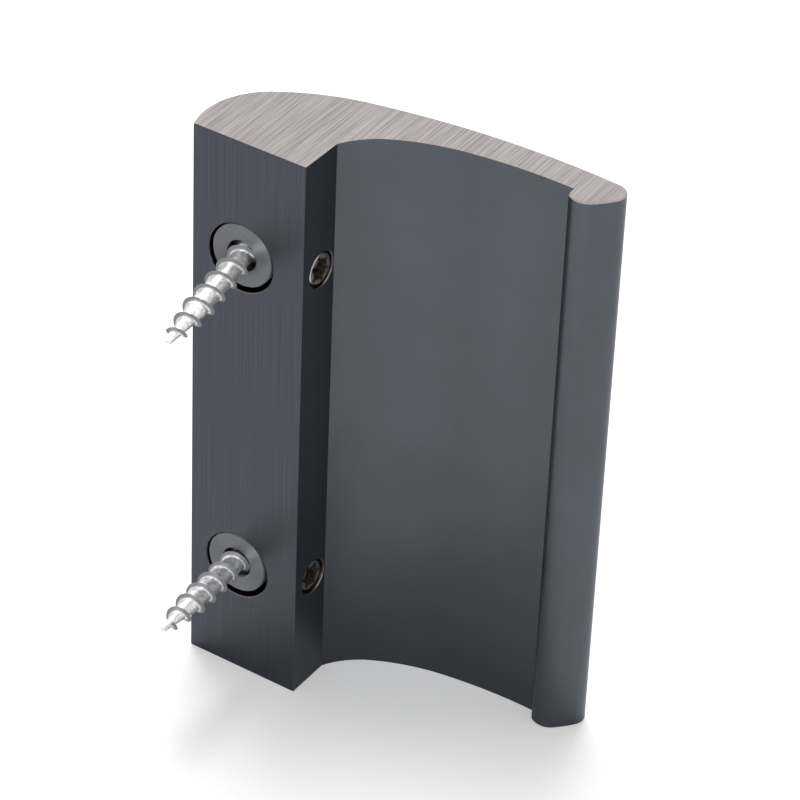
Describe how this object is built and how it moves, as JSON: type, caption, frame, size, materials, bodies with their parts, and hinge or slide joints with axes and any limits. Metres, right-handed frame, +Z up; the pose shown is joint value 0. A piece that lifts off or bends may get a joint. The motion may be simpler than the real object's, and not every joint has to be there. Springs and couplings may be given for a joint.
{
  "type": "balcony door pull handle",
  "caption": "Short vertical balcony door pull: a curved extruded aluminium wing with a rounded bead, fixed from behind by screwed bosses that set screws lock from the side.",
  "frame": {"origin": "on the mounting face, on the fixing axis, midway between the two sockets", "axes": "+X along the door from the fixing axis towards the grip, -Y out of the mounting face at the door, +Z up along the extrusion"},
  "size_m": [0.0533, 0.0377, 0.085],
  "materials": {
    "anodised_profile": "anthracite anodised, finely brushed along the extrusion, with bare brushed ends",
    "turned_boss": "turned, with fine circular tool marks",
    "zinc_plated_screw": "bright zinc plate",
    "stainless_set_screw": "bright machined stainless steel"
  },
  "bodies": {
    "root": {"handle_profile": "anodised_profile", "upper_boss": "turned_boss", "lower_boss": "turned_boss", "upper_wood_screw": "zinc_plated_screw", "lower_wood_screw": "zinc_plated_screw", "upper_set_screw": "stainless_set_screw", "lower_set_screw": "stainless_set_screw"}
  },
  "joints": []
}
